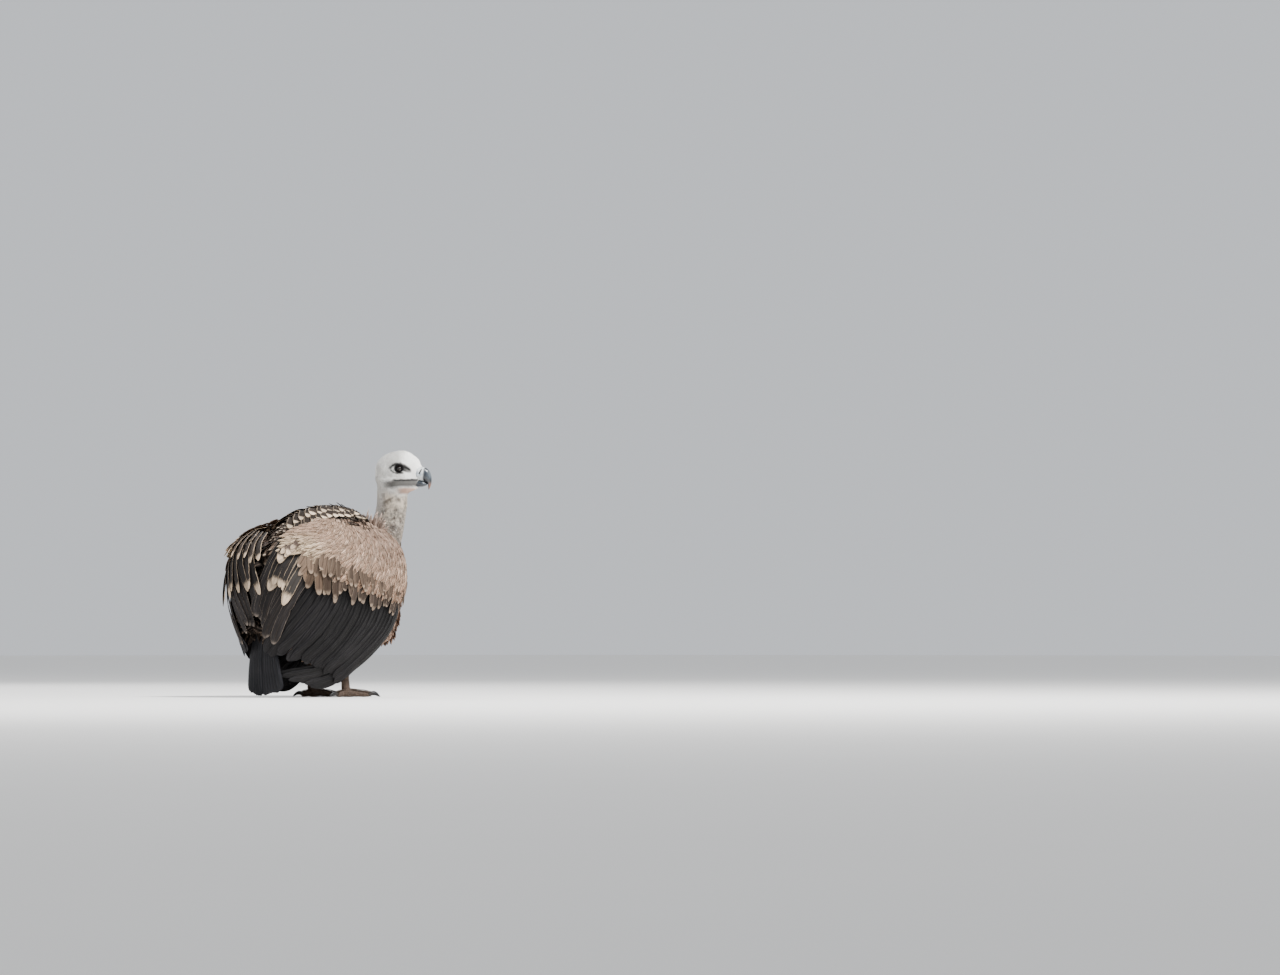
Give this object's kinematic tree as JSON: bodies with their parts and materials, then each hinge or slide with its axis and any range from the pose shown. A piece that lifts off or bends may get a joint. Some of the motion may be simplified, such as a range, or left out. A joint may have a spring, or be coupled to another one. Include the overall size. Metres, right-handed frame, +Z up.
{
  "type": "vulture model",
  "caption": "Life-size standing vulture with folded wings, a downy head turned over its shoulder, a feather ruff and a hooked bill.",
  "frame": {"origin": "on the floor, under the middle of the bird's bounding box", "axes": "+X the way the breast faces, +Y the bird's left, +Z up"},
  "size_m": [0.5408, 0.367, 0.6697],
  "materials": {
    "body": "warm brown feathers",
    "cere": "smooth, blue-grey",
    "claw": "satin, black",
    "coverts": "buff, streaked feathers",
    "down": "short white down",
    "eye": "glossy, dark brown",
    "flight": "blackish quills with a faint sheen",
    "horn": "satin, blue-grey to blackish",
    "mantle": "dark brown feathers with pale edges",
    "ruff": "pointed brown feathers",
    "scales": "scaled grey-brown skin"
  },
  "bodies": {
    "root": {"bill_lower": "horn", "bill_upper": "horn", "cere": "cere", "claw_left_hind": "claw", "claw_left_inner": "claw", "claw_left_middle": "claw", "claw_left_outer": "claw", "claw_right_hind": "claw", "claw_right_inner": "claw", "claw_right_middle": "claw", "claw_right_outer": "claw", "eye_left": "eye", "eye_right": "eye", "foot_left": "scales", "foot_right": "scales", "head": "down", "mantle": "mantle", "neck": "down", "ruff": "ruff", "shank_left": "scales", "shank_right": "scales", "tail": "flight", "thigh_left": "body", "thigh_right": "body", "trunk": "body", "wing_left_arm": "coverts", "wing_left_coverts": "coverts", "wing_left_greater_coverts": "coverts", "wing_left_primaries": "flight", "wing_left_scapulars": "mantle", "wing_left_secondaries": "flight", "wing_left_tertials": "flight", "wing_right_arm": "coverts", "wing_right_coverts": "coverts", "wing_right_greater_coverts": "coverts", "wing_right_primaries": "flight", "wing_right_scapulars": "mantle", "wing_right_secondaries": "flight", "wing_right_tertials": "flight"}
  },
  "joints": []
}
